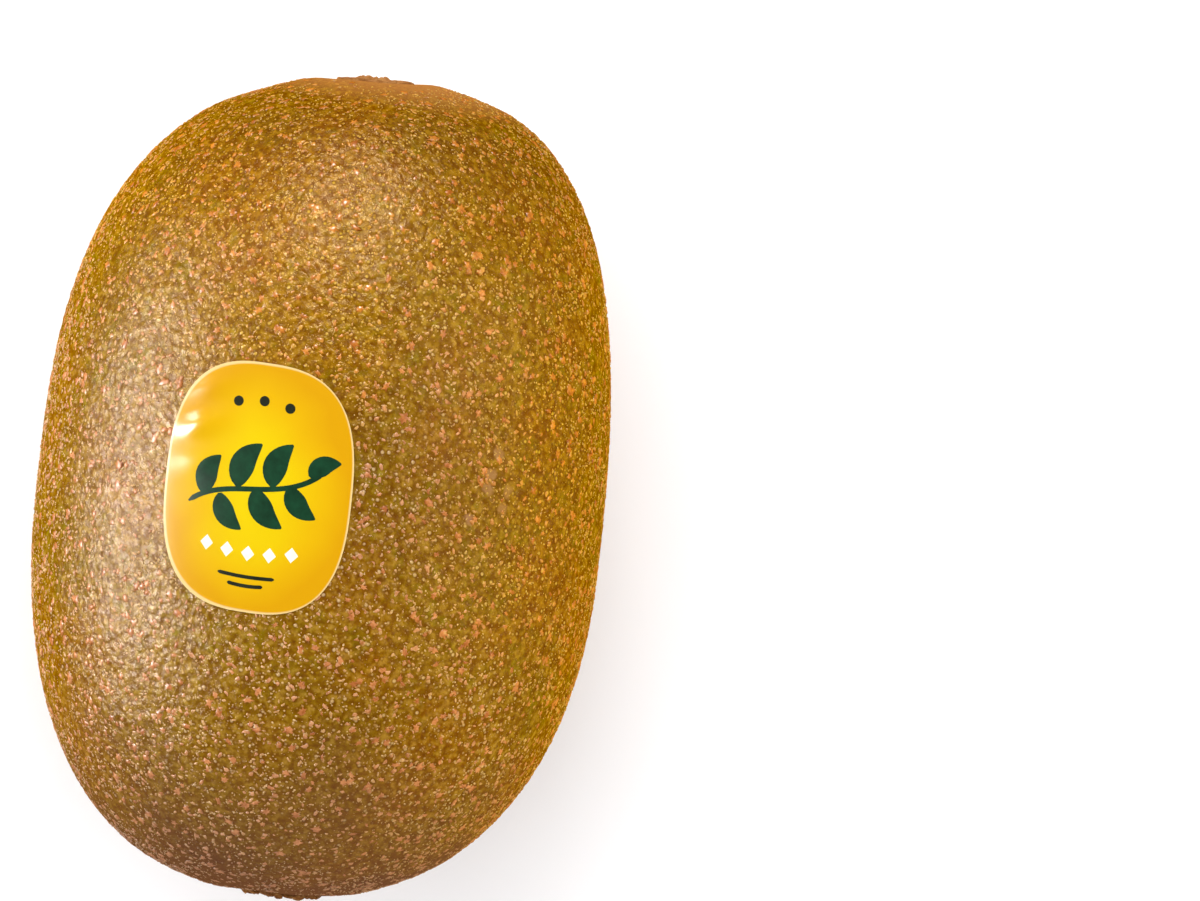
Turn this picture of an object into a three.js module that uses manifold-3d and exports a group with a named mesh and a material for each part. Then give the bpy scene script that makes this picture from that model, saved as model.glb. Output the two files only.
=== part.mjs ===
// A golden kiwifruit lying on its side: the fruit as one solid, the dry scar of its stalk with five
// dried sepals, the dried styles at its blossom end, and an oval paper label stuck on its upper side.
// Millimetres, +Z up. The fruit lies along Y, with its stem end at +Y.
import * as THREE from "three";
import { mergeVertices } from "three/addons/utils/BufferGeometryUtils.js";
import Module from "manifold-3d";

const TURN = 2 * Math.PI;

// The body's outline is a superellipse on each side of its widest ring, which lies at y = 0 here.
const WIDE_RADIUS = 23.95;
const THICKNESS_SHARE = 0.955;
const FLAT_DEPTH = 0.35;

// Slow swells round the body: how many to a turn, their share of the radius, and where they start.
const SWELLS = [
  { waves: 2, share: 0.004, start: 0.6, twist: 0.02 },
  { waves: 3, share: 0.0035, start: 2.1, twist: -0.03 },
  { waves: 5, share: 0.002, start: 4.0, twist: 0.05 },
];

// The body's midline bends a little to and fro, and each end leans.
const BEND = 0.45;
const BEND_LENGTH = 34;
const BEND_CENTRE = 1.1;
const LEAN_POWER = 4;

// `centre` is where the scar or the styles sit, as x and z from the body's axis.
const STEM_END = {
  side: 1,
  length: 37.35,
  power: 2.65,
  lean: 0.061,
  centre: [-0.9, 0.4],
  mound: { radius: 7.6, edge: 2.6, height: 0.06, lumps: 0.8 },
  dip: { radius: 9.8, width: 2.2, depth: 0.25, towards: 2.0 },
  collar: { radius: 5.2, width: 1.1, height: 0.05 },
  pit: { radius: 4.9, edge: 1.7, depth: 0.55 },
};
const BLOSSOM_END = {
  side: -1,
  length: 32.3,
  power: 2.34,
  lean: 0.017,
  centre: [1.4, 0.2],
  mound: { radius: 7.2, edge: 2.6, height: -0.35, lumps: 0.2 },
  dip: { radius: 9.4, width: 2.2, depth: 0.12, towards: 1.2 },
  collar: { radius: 5, width: 1, height: 0.15 },
  pit: { radius: 4.6, edge: 1.4, depth: 0.4 },
};

// The skin's russet specks, raised one by one where the grid has its corners. There are none close to
// the two ends, under the label or near the flat spot.
const SPECK_SHARE = 0.4;
const SPECK_HEIGHT = 0.12;
const SPECKS_END_AT = 9;
const PLAIN_ABOVE_FLAT = 1;
const PLAIN_UNDER_LABEL = 0.62;

// The fruit's grid: sectors round it, and the spacing of its rings at the ends and on the body.
const SECTORS = 64;
const END_ZONE = 10;
const END_STEP = 0.85;
const BODY_STEP = 1.9;

const LABEL = {
  width: 16,
  length: 20.4,
  power: 2.75,
  thickness: 0.25,
  turn: THREE.MathUtils.degToRad(103.2),
  along: 2.87,
};

const SEPALS = { count: 5, hub: 2, reach: 2.1, shortest: 0.65, width: 1.09, thickness: 0.35 };
const RIDGES = { count: 11, height: 0.08 };
const STALK = { radius: 1.5, edge: 0.4, height: 0.25, hollow: 0.3, hollowRadius: 1 };

const STYLE_DISC = { radius: 3.4, thickness: 0.4, ragged: 0.1 };
const DISC_CROWN = { radius: 2.4, edge: 1.6, height: 0.25 };
const STYLES = {
  rings: [0, 1.1, 2.1, 2.95],
  perRing: [1, 5, 9, 12],
  length: 0.85,
  width: 0.62,
  root: 0.25,
};
const STYLE_LEAN = { least: 0.15, perMillimetre: 0.22, uneven: 0.2 };
const STYLE_TAPER = 0.45;
const STYLE_SIDES = 5;
const STYLE_STEPS = 3;

// The clear space under each separate piece.
const LABEL_GAP = 0.12;
const PLUG_GAP = 0.25;

const LOOKS = {
  skin: { color: 0x8a6a24, roughness: 0.55, metalness: 0 },
  scar: { color: 0x9a6a3a, roughness: 0.9, metalness: 0 },
  styles: { color: 0x4a2a14, roughness: 0.9, metalness: 0 },
  label: { color: 0xf7b90a, roughness: 0.35, metalness: 0 },
};

// A repeatable stream of numbers from 0 to 1.
function seeded(seed) {
  let state = seed;
  return () => {
    state = (state + 0x6d2b79f5) | 0;
    let mixed = Math.imul(state ^ (state >>> 15), 1 | state);
    mixed = (mixed + Math.imul(mixed ^ (mixed >>> 7), 61 | mixed)) ^ mixed;
    return ((mixed ^ (mixed >>> 14)) >>> 0) / 4294967296;
  };
}

const bell = (distance, width) => Math.exp(-((distance / width) ** 2));
const plateau = (distance, radius, edge) => 1 - THREE.MathUtils.smoothstep(distance, radius - edge, radius);

// The plain outline: how far along the axis a ring of some radius lies, and the other way round.
const alongAt = (end, radius) =>
  end.length * Math.max(0, 1 - (radius / WIDE_RADIUS) ** end.power) ** (1 / end.power);
const radiusAt = (end, along) =>
  WIDE_RADIUS * Math.max(0, 1 - (along / end.length) ** end.power) ** (1 / end.power);

// How far an end's mound, dip, collar and pit raise the skin at a place beside its centre.
function endRelief(end, x, z) {
  const [across, up] = [x - end.centre[0], z - end.centre[1]];
  const distance = Math.hypot(across, up);
  const turn = Math.atan2(up, across);
  const { mound, dip, collar, pit } = end;
  const lumpy = 1 + mound.lumps * (0.6 * Math.cos(3 * turn + 0.4) + 0.4 * Math.cos(5 * turn + 2.2));
  const facing = 0.6 + 0.4 * Math.cos(turn - dip.towards);
  return (
    mound.height * lumpy * plateau(distance, mound.radius, mound.edge) -
    dip.depth * facing * bell(distance - dip.radius, dip.width) +
    collar.height * bell(distance - collar.radius, collar.width) -
    (collar.height + pit.depth) * plateau(distance, pit.radius, pit.edge)
  );
}

// A point of the skin, from its place on the plain outline and its turn about the axis.
function skinPoint(end, along, radius, turn) {
  const swollen = SWELLS.reduce(
    (sum, { waves, share, start, twist }) =>
      sum + share * Math.cos(waves * turn + start + twist * end.side * along),
    1,
  );
  const point = new THREE.Vector3(
    radius * swollen * Math.cos(turn),
    0,
    THICKNESS_SHARE * radius * swollen * Math.sin(turn),
  );
  point.y = end.side * (along + endRelief(end, point.x, point.z));
  const towardsEnd = Math.min(1, Math.abs(point.y) / end.length);
  point.y += end.lean * point.x * towardsEnd ** LEAN_POWER;
  point.x -= BEND * Math.sin((Math.PI * (point.y - BEND_CENTRE)) / BEND_LENGTH);
  point.z = Math.max(point.z, FLAT_DEPTH - THICKNESS_SHARE * WIDE_RADIUS);
  return point;
}

// The rings of the grid from one end's tip to the widest ring: where each lies on the plain outline.
function ringsOf(end) {
  const rings = [];
  for (let radius = END_STEP; radius < END_ZONE; radius += END_STEP) {
    rings.push({ end, along: alongAt(end, radius), radius });
  }
  let angle = Math.asin((END_ZONE / WIDE_RADIUS) ** (end.power / 2));
  while (angle < Math.PI / 2 - 1e-6) {
    const radius = WIDE_RADIUS * Math.sin(angle) ** (2 / end.power);
    rings.push({ end, along: alongAt(end, radius), radius });
    const ahead = angle + 1e-3;
    const next = WIDE_RADIUS * Math.sin(ahead) ** (2 / end.power);
    const pace = Math.hypot(next - radius, alongAt(end, next) - alongAt(end, radius)) / 1e-3;
    angle += BODY_STEP / pace;
  }
  return rings;
}

const onLabel = (point) => {
  const centre = WIDE_RADIUS * Math.cos(LABEL.turn);
  return (
    point.z > 0 &&
    Math.abs(point.x - centre) < LABEL.width * PLAIN_UNDER_LABEL &&
    Math.abs(point.y - LABEL.along) < LABEL.length * PLAIN_UNDER_LABEL
  );
};

// The fruit: rings of corners, each turned half a sector from the last, closed by a tip at each end.
function fruitGeometry() {
  const rings = [
    ...ringsOf(STEM_END),
    { end: STEM_END, along: 0, radius: WIDE_RADIUS },
    ...ringsOf(BLOSSOM_END).reverse(),
  ];
  const random = seeded(7);
  const floor = FLAT_DEPTH - THICKNESS_SHARE * WIDE_RADIUS;
  const corners = [skinPoint(STEM_END, STEM_END.length, 0, 0)];
  const axis = new THREE.Vector3(0, 1, 0);
  rings.forEach(({ end, along, radius }, ring) => {
    for (let sector = 0; sector < SECTORS; sector++) {
      const turn = ((sector + (ring % 2) / 2) / SECTORS) * TURN;
      const point = skinPoint(end, along, radius, turn);
      const raised = random() < SPECK_SHARE ? SPECK_HEIGHT * (0.5 + random()) : 0;
      const plain = radius < SPECKS_END_AT || point.z < floor + PLAIN_ABOVE_FLAT || onLabel(point);
      const outward = point.clone().addScaledVector(axis, -0.6 * point.y).normalize();
      corners.push(point.addScaledVector(outward, plain ? 0 : raised));
    }
  });
  corners.push(skinPoint(BLOSSOM_END, BLOSSOM_END.length, 0, 0));

  const corner = (ring, sector) => 1 + ring * SECTORS + (sector % SECTORS);
  const last = corners.length - 1;
  const faces = [];
  for (let sector = 0; sector < SECTORS; sector++) {
    faces.push([0, corner(0, sector + 1), corner(0, sector)]);
    faces.push([last, corner(rings.length - 1, sector), corner(rings.length - 1, sector + 1)]);
  }
  for (let ring = 0; ring + 1 < rings.length; ring++) {
    for (let sector = 0; sector < SECTORS; sector++) {
      const [a, b] = [corner(ring, sector), corner(ring, sector + 1)];
      const [c, d] = [corner(ring + 1, sector), corner(ring + 1, sector + 1)];
      faces.push(...(ring % 2 ? [[a, b, c], [b, d, c]] : [[a, d, c], [a, b, d]]));
    }
  }
  return geometryOf(corners, faces);
}

function geometryOf(corners, faces) {
  const geometry = new THREE.BufferGeometry().setFromPoints(corners);
  geometry.setIndex(faces.flat());
  return geometry;
}

// A closed solid that follows the skin a little above it. `place` gives the skin's point for a place
// in the patch, `outline` the patch's edge in each direction and `height` how thick it is there.
function patchOnSkin({ place, outline, height, gap, rings, sectors }) {
  const lower = [];
  const upper = [];
  const nudge = 0.05;
  const add = (share, turn) => {
    const reach = share * outline(turn);
    const [across, along] = [reach * Math.cos(turn), reach * Math.sin(turn)];
    const point = place(across, along);
    const outward = place(across + nudge, along)
      .sub(place(across - nudge, along))
      .cross(place(across, along + nudge).sub(place(across, along - nudge)))
      .normalize();
    lower.push(point.clone().addScaledVector(outward, gap));
    upper.push(point.clone().addScaledVector(outward, gap + height(reach, turn)));
  };
  add(0, 0);
  for (let ring = 1; ring <= rings; ring++) {
    for (let sector = 0; sector < sectors; sector++) {
      add(ring / rings, (sector / sectors) * TURN);
    }
  }
  const corner = (ring, sector) => 1 + (ring - 1) * sectors + (sector % sectors);
  const offset = lower.length;
  const faces = [];
  const both = (a, b, c) => faces.push([a, b, c], [offset + a, offset + c, offset + b]);
  for (let sector = 0; sector < sectors; sector++) {
    both(0, corner(1, sector), corner(1, sector + 1));
    for (let ring = 1; ring < rings; ring++) {
      const [a, b] = [corner(ring, sector), corner(ring, sector + 1)];
      const [c, d] = [corner(ring + 1, sector), corner(ring + 1, sector + 1)];
      both(a, c, d);
      both(a, d, b);
    }
    const [a, b] = [corner(rings, sector), corner(rings, sector + 1)];
    faces.push([a, offset + a, offset + b], [a, offset + b, b]);
  }
  return geometryOf([...upper, ...lower], faces);
}

// Places on an end, measured from the centre of its scar or styles.
const placeOnEnd = (end) => (across, up) => {
  const x = end.centre[0] + across * -end.side;
  const z = (end.centre[1] + up) / THICKNESS_SHARE;
  const radius = Math.hypot(x, z);
  return skinPoint(end, alongAt(end, radius), radius, Math.atan2(z, x));
};

function placeOnLabel(across, along) {
  const y = LABEL.along + along;
  const end = y < 0 ? BLOSSOM_END : STEM_END;
  return skinPoint(end, Math.abs(y), radiusAt(end, Math.abs(y)), LABEL.turn - across / WIDE_RADIUS);
}

function labelGeometry() {
  const outline = (turn) => {
    const across = Math.abs(Math.cos(turn) / (LABEL.width / 2)) ** LABEL.power;
    const along = Math.abs(Math.sin(turn) / (LABEL.length / 2)) ** LABEL.power;
    return (across + along) ** (-1 / LABEL.power);
  };
  return patchOnSkin({
    place: placeOnLabel,
    outline,
    height: () => LABEL.thickness,
    gap: LABEL_GAP,
    rings: 5,
    sectors: 40,
  });
}

// The scar: five dried sepals of uneven length round a hollow stub of stalk.
function scarGeometry() {
  const random = seeded(21);
  const lengths = Array.from(
    { length: SEPALS.count },
    () => SEPALS.reach * (SEPALS.shortest + (1 - SEPALS.shortest) * random()),
  );
  const outline = (turn) => {
    const place = ((turn / TURN) * SEPALS.count + SEPALS.count) % SEPALS.count;
    const sepal = Math.floor(place);
    const aside = Math.abs(place - sepal - 0.5) * 2;
    return SEPALS.hub + lengths[sepal] * Math.max(0, 1 - (aside / SEPALS.width) ** 1.6);
  };
  const height = (reach, turn) => {
    const stub = STALK.height * plateau(reach, STALK.radius, STALK.edge);
    const hollow = STALK.hollow * plateau(reach, STALK.hollowRadius, STALK.edge);
    const ridged = RIDGES.height * Math.cos(RIDGES.count * turn) * Math.min(1, reach / STALK.radius);
    return SEPALS.thickness + stub - hollow + ridged;
  };
  return patchOnSkin({
    place: placeOnEnd(STEM_END),
    outline,
    height,
    gap: PLUG_GAP,
    rings: 9,
    sectors: 50,
  });
}

// One dried style: a tapered stalk that bends as it rises from `root` along `direction`.
function styleGeometry(root, direction, bend, length) {
  const corners = [];
  const faces = [];
  const side = new THREE.Vector3().crossVectors(direction, new THREE.Vector3(0.3, 0.2, 1)).normalize();
  const other = new THREE.Vector3().crossVectors(direction, side);
  for (let step = 0; step <= STYLE_STEPS; step++) {
    const share = step / STYLE_STEPS;
    const centre = root
      .clone()
      .addScaledVector(direction, length * share)
      .addScaledVector(bend, length * share * share);
    const radius = (STYLES.width / 2) * (1 - STYLE_TAPER * share);
    for (let corner = 0; corner < STYLE_SIDES; corner++) {
      const turn = (corner / STYLE_SIDES) * TURN;
      corners.push(
        centre
          .clone()
          .addScaledVector(side, radius * Math.cos(turn))
          .addScaledVector(other, radius * Math.sin(turn)),
      );
    }
  }
  const at = (step, corner) => step * STYLE_SIDES + (corner % STYLE_SIDES);
  for (let corner = 0; corner < STYLE_SIDES; corner++) {
    for (let step = 0; step < STYLE_STEPS; step++) {
      faces.push([at(step, corner), at(step, corner + 1), at(step + 1, corner + 1)]);
      faces.push([at(step, corner), at(step + 1, corner + 1), at(step + 1, corner)]);
    }
    if (corner > 0 && corner + 1 < STYLE_SIDES) {
      faces.push([0, at(0, corner + 1), at(0, corner)]);
      faces.push([at(STYLE_STEPS, 0), at(STYLE_STEPS, corner), at(STYLE_STEPS, corner + 1)]);
    }
  }
  return geometryOf(corners, faces);
}

const wasm = await Module();
wasm.setup();

function solidOf(geometry) {
  const bare = geometry.clone();
  bare.deleteAttribute("normal");
  bare.deleteAttribute("uv");
  const merged = mergeVertices(bare, 1e-4);
  const vertProperties = new Float32Array(merged.attributes.position.array);
  const triVerts = new Uint32Array(merged.index.array);
  return new wasm.Manifold(new wasm.Mesh({ numProp: 3, vertProperties, triVerts }));
}

function geometryFrom(solid) {
  const { vertProperties, triVerts } = solid.getMesh();
  const geometry = new THREE.BufferGeometry();
  geometry.setAttribute("position", new THREE.BufferAttribute(vertProperties, 3));
  geometry.setIndex(new THREE.BufferAttribute(triVerts, 1));
  return geometry;
}

// The dried styles: a ragged disc in the pit of the blossom end, with bent stubs grown out of it.
function stylesGeometry() {
  const random = seeded(5);
  const place = placeOnEnd(BLOSSOM_END);
  const ragged = (turn) => 1 + STYLE_DISC.ragged * (Math.cos(7 * turn) + 0.6 * Math.cos(12 * turn + 1));
  const crown = (reach) => DISC_CROWN.height * plateau(reach, DISC_CROWN.radius, DISC_CROWN.edge);
  const disc = patchOnSkin({
    place,
    outline: (turn) => STYLE_DISC.radius * ragged(turn),
    height: (reach) => STYLE_DISC.thickness + crown(reach),
    gap: PLUG_GAP,
    rings: 4,
    sectors: 32,
  });
  const outwards = new THREE.Vector3(0, BLOSSOM_END.side, 0);
  let whole = solidOf(disc);
  STYLES.rings.forEach((reach, ring) => {
    for (let count = 0; count < STYLES.perRing[ring]; count++) {
      const turn = ((count + 0.7 * random()) / STYLES.perRing[ring]) * TURN;
      const [across, up] = [reach * Math.cos(turn), reach * Math.sin(turn)];
      const away = new THREE.Vector3(-across * BLOSSOM_END.side, 0, up).normalize();
      const root = place(across, up).addScaledVector(outwards, PLUG_GAP + STYLES.root);
      const leaning = STYLE_LEAN.least + STYLE_LEAN.perMillimetre * reach + STYLE_LEAN.uneven * random();
      const direction = outwards.clone().addScaledVector(away, leaning).normalize();
      const bend = away.clone().multiplyScalar(0.5 * random() - 0.2);
      bend.addScaledVector(outwards, -0.15 * random());
      const length = STYLES.length * (0.55 + 0.45 * random());
      whole = whole.add(solidOf(styleGeometry(root, direction, bend, length)));
    }
  });
  return geometryFrom(whole);
}

function named(name, geometry, look) {
  const mesh = new THREE.Mesh(geometry, new THREE.MeshStandardMaterial(look));
  mesh.name = name;
  return mesh;
}

// The pieces stand in one inner group, which is moved so that the middle of its base is the origin.
const pieces = new THREE.Group();
pieces.add(
  named("kiwi_fruit", fruitGeometry(), LOOKS.skin),
  named("stem_scar", scarGeometry(), LOOKS.scar),
  named("style_remnant", stylesGeometry(), LOOKS.styles),
  named("label", labelGeometry(), LOOKS.label),
);
const bounds = new THREE.Box3().setFromObject(pieces, true);
const middle = bounds.getCenter(new THREE.Vector3());
pieces.position.set(-middle.x, -middle.y, -bounds.min.z);

const kiwi = new THREE.Group();
kiwi.add(pieces);

export default kiwi;
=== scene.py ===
"""A golden kiwifruit on a pale floor, seen from above as in the photograph.

The fruit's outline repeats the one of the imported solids, in millimetres about the middle of its widest
ring, and everything is moved into the frame, in metres, when its mesh is made.
"""

import math

import bpy
import numpy as np
from mathutils import Matrix, Vector


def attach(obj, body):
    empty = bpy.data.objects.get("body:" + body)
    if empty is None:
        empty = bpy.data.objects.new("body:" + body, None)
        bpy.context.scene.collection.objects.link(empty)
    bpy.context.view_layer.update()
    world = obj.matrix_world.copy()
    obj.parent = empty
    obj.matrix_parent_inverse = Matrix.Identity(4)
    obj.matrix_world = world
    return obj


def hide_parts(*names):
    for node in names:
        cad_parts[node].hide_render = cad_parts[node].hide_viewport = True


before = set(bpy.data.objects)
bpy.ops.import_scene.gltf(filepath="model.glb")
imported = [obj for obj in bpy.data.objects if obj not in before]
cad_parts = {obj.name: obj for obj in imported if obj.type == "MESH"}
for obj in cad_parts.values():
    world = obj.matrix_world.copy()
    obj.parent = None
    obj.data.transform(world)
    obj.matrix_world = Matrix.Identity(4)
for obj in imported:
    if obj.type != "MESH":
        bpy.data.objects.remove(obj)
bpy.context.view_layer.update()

MM = 0.001
TURN = 2 * math.pi

# The fruit's outline, as the solids have it.
WIDEST_RING_AT = (0.0666, -2.5865, 22.52225)
WIDE_RADIUS = 23.95
THICKNESS_SHARE = 0.955
FLAT_DEPTH = 0.35
SWELLS = [
    dict(waves=2, share=0.004, start=0.6, twist=0.02),
    dict(waves=3, share=0.0035, start=2.1, twist=-0.03),
    dict(waves=5, share=0.002, start=4.0, twist=0.05),
]
BEND = 0.45
BEND_LENGTH = 34
BEND_CENTRE = 1.1
LEAN_POWER = 4
STEM_END = dict(
    side=1,
    length=37.35,
    power=2.65,
    lean=0.061,
    centre=(-0.9, 0.4),
    mound=dict(radius=7.6, edge=2.6, height=0.06, lumps=0.8),
    dip=dict(radius=9.8, width=2.2, depth=0.25, towards=2.0),
    collar=dict(radius=5.2, width=1.1, height=0.05),
    pit=dict(radius=4.9, edge=1.7, depth=0.55),
)
BLOSSOM_END = dict(
    side=-1,
    length=32.3,
    power=2.34,
    lean=0.017,
    centre=(1.4, 0.2),
    mound=dict(radius=7.2, edge=2.6, height=-0.35, lumps=0.2),
    dip=dict(radius=9.4, width=2.2, depth=0.12, towards=1.2),
    collar=dict(radius=5, width=1, height=0.15),
    pit=dict(radius=4.6, edge=1.4, depth=0.4),
)
FLOOR_LEVEL = FLAT_DEPTH - THICKNESS_SHARE * WIDE_RADIUS

# The label and the pieces at the two ends, as the solids have them.
LABEL = dict(width=16, length=20.4, power=2.75, turn=math.radians(103.2), along=2.87)
PLUG_GAP = 0.25
SEPALS = dict(count=5, hub=2, reach=2.1, shortest=0.65, width=1.09, thickness=0.35)
RIDGES = dict(count=11, height=0.08)
STALK = dict(radius=1.5, edge=0.4, height=0.25, hollow=0.3, hollow_radius=1)
STYLE_DISC = dict(radius=3.4, thickness=0.4, ragged=0.1)
DISC_CROWN = dict(radius=2.4, edge=1.6, height=0.25)
STYLES = dict(rings=(0, 1.1, 2.1, 2.95), per_ring=(1, 5, 9, 12), length=0.85, width=0.62, root=0.25)
STYLE_LEAN = dict(least=0.15, per_millimetre=0.22, uneven=0.2)
STYLE_TAPER = 0.45

# What is finer here than in the solids, and how far apart slopes are measured, in millimetres.
SKIN_SECTORS = 360
SKIN_RINGS = 262
DIMPLES = [dict(depth=0.035, wave=5), dict(depth=0.018, wave=1.9), dict(depth=0.008, wave=1.1)]
CALM = dict(beside_label=0.5, over_floor=(0.1, 1), from_tips=(4, 8))
LABEL_PAPER = 0.1
LABEL_LIES = 0.03
LABEL_CURL = 0.02
BUCKLE = dict(crest=-5.2, width=1.7, bend=0.09, bent_from=3, along=5.2, length=4, height=0.42)
PLUG_LIES = 0.03
SCAR_LOWER = 0.03
SCAR_GRAIN = [dict(depth=0.03, wave=0.9), dict(depth=0.015, wave=0.4)]
DISC_WALL = dict(radius=2.75, width=0.5, height=0.42)
STUB = dict(length_share=0.79, width_share=2, sides=8, steps=7)
SKIN_NUDGE = 0.04
END_NUDGE = 0.03
WAVE_COUNT = 24

# The camera: where it stands over the fruit, and where the fruit is in the 1200 x 901 photograph.
PHOTO_WIDTH = 1200
PHOTO_HEIGHT = 901
FRUIT_MIDDLE_PX = (322.84, 487.07)
PX_PER_MM = 11.793
CAMERA_DISTANCE = 600
CAMERA_TILT = math.radians(3)
CAMERA_ROLL = math.radians(8.41)
FRUIT_MIDDLE = (0, 0, 23)
SENSOR = 36
NEAR_CLIP, FAR_CLIP = 0.05, 50
FLOOR_HALF_WIDTH = 3.0
FLOOR_BELOW = 0.00002


def bell(distance, width):
    return np.exp(-((distance / width) ** 2))


def smooth(value, low, high):
    share = np.clip((value - low) / (high - low), 0, 1)
    return share * share * (3 - 2 * share)


def plateau(distance, radius, edge):
    return 1 - smooth(distance, radius - edge, radius)


def end_relief(end, x, z):
    """How far an end's mound, dip, collar and pit raise the skin beside its centre."""
    across, up = x - end["centre"][0], z - end["centre"][1]
    distance = np.hypot(across, up)
    turn = np.arctan2(up, across)
    mound, dip, collar, pit = (end[part] for part in ("mound", "dip", "collar", "pit"))
    lumpy = 1 + mound["lumps"] * (0.6 * np.cos(3 * turn + 0.4) + 0.4 * np.cos(5 * turn + 2.2))
    facing = 0.6 + 0.4 * np.cos(turn - dip["towards"])
    return (
        mound["height"] * lumpy * plateau(distance, mound["radius"], mound["edge"])
        - dip["depth"] * facing * bell(distance - dip["radius"], dip["width"])
        + collar["height"] * bell(distance - collar["radius"], collar["width"])
        - (collar["height"] + pit["depth"]) * plateau(distance, pit["radius"], pit["edge"])
    )


def skin(y, radius, turn):
    """Points of the skin, from places on the plain outline and turns about the fruit's axis."""
    y, radius, turn = np.broadcast_arrays(*(np.asarray(v, float) for v in (y, radius, turn)))
    swollen = 1 + sum(
        s["share"] * np.cos(s["waves"] * turn + s["start"] + s["twist"] * y) for s in SWELLS
    )
    x = radius * swollen * np.cos(turn)
    z = THICKNESS_SHARE * radius * swollen * np.sin(turn)
    on_stem_side = y >= 0
    relief = np.where(on_stem_side, end_relief(STEM_END, x, z), -end_relief(BLOSSOM_END, x, z))
    length = np.where(on_stem_side, STEM_END["length"], BLOSSOM_END["length"])
    lean = np.where(on_stem_side, STEM_END["lean"], BLOSSOM_END["lean"])
    raised = y + relief
    leant = raised + lean * x * np.minimum(1, np.abs(raised) / length) ** LEAN_POWER
    bent = x - BEND * np.sin(math.pi * (leant - BEND_CENTRE) / BEND_LENGTH)
    return np.stack([bent, leant, np.maximum(z, FLOOR_LEVEL)], axis=-1)


def half_outline(end, steps):
    """The plain outline from an end's tip to the widest ring: places along the axis, and radii."""
    angle = np.linspace(0, math.pi / 2, steps)
    radius = WIDE_RADIUS * np.sin(angle) ** (2 / end["power"])
    along = end["length"] * np.maximum(np.cos(angle), 0) ** (2 / end["power"])
    return end["side"] * along, radius


def whole_outline():
    """The plain outline from tip to tip, with the length of skin covered up to each place."""
    stem_y, stem_radius = half_outline(STEM_END, 3000)
    blossom_y, blossom_radius = half_outline(BLOSSOM_END, 3000)
    y = np.concatenate([stem_y, blossom_y[-2::-1]])
    radius = np.concatenate([stem_radius, blossom_radius[-2::-1]])
    arc = np.concatenate([[0], np.cumsum(np.hypot(np.diff(y), np.diff(radius)))])
    return y, radius, arc


OUTLINE_Y, OUTLINE_RADIUS, OUTLINE_ARC = whole_outline()
SKIN_LENGTH = OUTLINE_ARC[-1]


def skin_at(arc, turn):
    arc = np.clip(arc, 0, SKIN_LENGTH)
    y = np.interp(arc, OUTLINE_ARC, OUTLINE_Y)
    radius = np.interp(arc, OUTLINE_ARC, OUTLINE_RADIUS)
    return skin(y, radius, turn)


def unit(vectors):
    return vectors / np.maximum(np.linalg.norm(vectors, axis=-1, keepdims=True), 1e-12)


def skin_frame(arc, turn):
    """Points of the skin, with the directions round the fruit, along it and out of it."""
    radius = np.maximum(np.interp(arc, OUTLINE_ARC, OUTLINE_RADIUS), 0.5)
    spin = SKIN_NUDGE / radius
    round_it = unit(skin_at(arc, turn + spin) - skin_at(arc, turn - spin))
    along_it = unit(skin_at(arc + SKIN_NUDGE, turn) - skin_at(arc - SKIN_NUDGE, turn))
    return skin_at(arc, turn), round_it, along_it, unit(np.cross(round_it, along_it))


def waves(points, length, seed):
    """Soft seeded noise from -1 to 1: a sum of waves of about `length` in all directions."""
    rng = np.random.default_rng(seed)
    directions = unit(rng.normal(size=(WAVE_COUNT, 3)))
    directions = directions * TURN / (length * rng.uniform(0.7, 1.5, (WAVE_COUNT, 1)))
    starts = rng.uniform(0, TURN, WAVE_COUNT)
    return np.tanh(np.cos(points @ directions.T + starts).sum(-1) * math.sqrt(2 / WAVE_COUNT) / 1.4)


def grain(points, layers, first_seed):
    """Several sums of waves together, each with its own depth, length and seed."""
    return sum(
        layer["depth"] * waves(points, layer["wave"], first_seed + index)
        for index, layer in enumerate(layers)
    )


def seeded(state):
    """The same repeatable stream of numbers from 0 to 1 that the solids are drawn with."""
    whole = 0xFFFFFFFF

    def draw():
        nonlocal state
        state = (state + 0x6D2B79F5) & whole
        mixed = ((state ^ (state >> 15)) * (1 | state)) & whole
        mixed = ((mixed + (((mixed ^ (mixed >> 7)) * (61 | mixed)) & whole)) & whole) ^ mixed
        return (mixed ^ (mixed >> 14)) / (whole + 1)

    return draw


def add_object(name, data):
    thing = bpy.data.objects.new(name, data)
    bpy.context.scene.collection.objects.link(thing)
    return thing


def make_piece(name, points, faces, material, node=None, smooth_shading=True, sharp_edges=False):
    """A mesh from points in millimetres and faces of one size, riding on the fruit's body."""
    points = np.asarray(points, float)
    faces = np.asarray(faces, np.int32)
    mesh = bpy.data.meshes.new(name)
    mesh.vertices.add(len(points))
    mesh.vertices.foreach_set("co", ((points + WIDEST_RING_AT) * MM).ravel())
    mesh.loops.add(faces.size)
    mesh.loops.foreach_set("vertex_index", faces.ravel())
    mesh.polygons.add(len(faces))
    mesh.polygons.foreach_set("loop_start", np.arange(len(faces), dtype=np.int32) * faces.shape[1])
    mesh.update(calc_edges=True)
    mesh.validate()
    mesh.polygons.foreach_set("use_smooth", np.full(len(mesh.polygons), smooth_shading))
    if sharp_edges:
        mesh.set_sharp_from_angle(angle=math.radians(50))
    piece = add_object(name, mesh)
    mesh.materials.append(material)
    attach(piece, "root")
    if node:
        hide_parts(node)
    return piece


def between_rings(rings, sectors):
    """The corners of the quads between closed rings of points: a ring's two, then the next one's two."""
    ring, sector = np.meshgrid(np.arange(rings - 1), np.arange(sectors), indexing="ij")
    here = (ring * sectors + sector).ravel()
    beside = (ring * sectors + (sector + 1) % sectors).ravel()
    return here, beside, here + sectors, beside + sectors


def around(sectors):
    """The points of one closed ring, and the point after each of them."""
    return np.arange(sectors), (np.arange(sectors) + 1) % sectors


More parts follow.
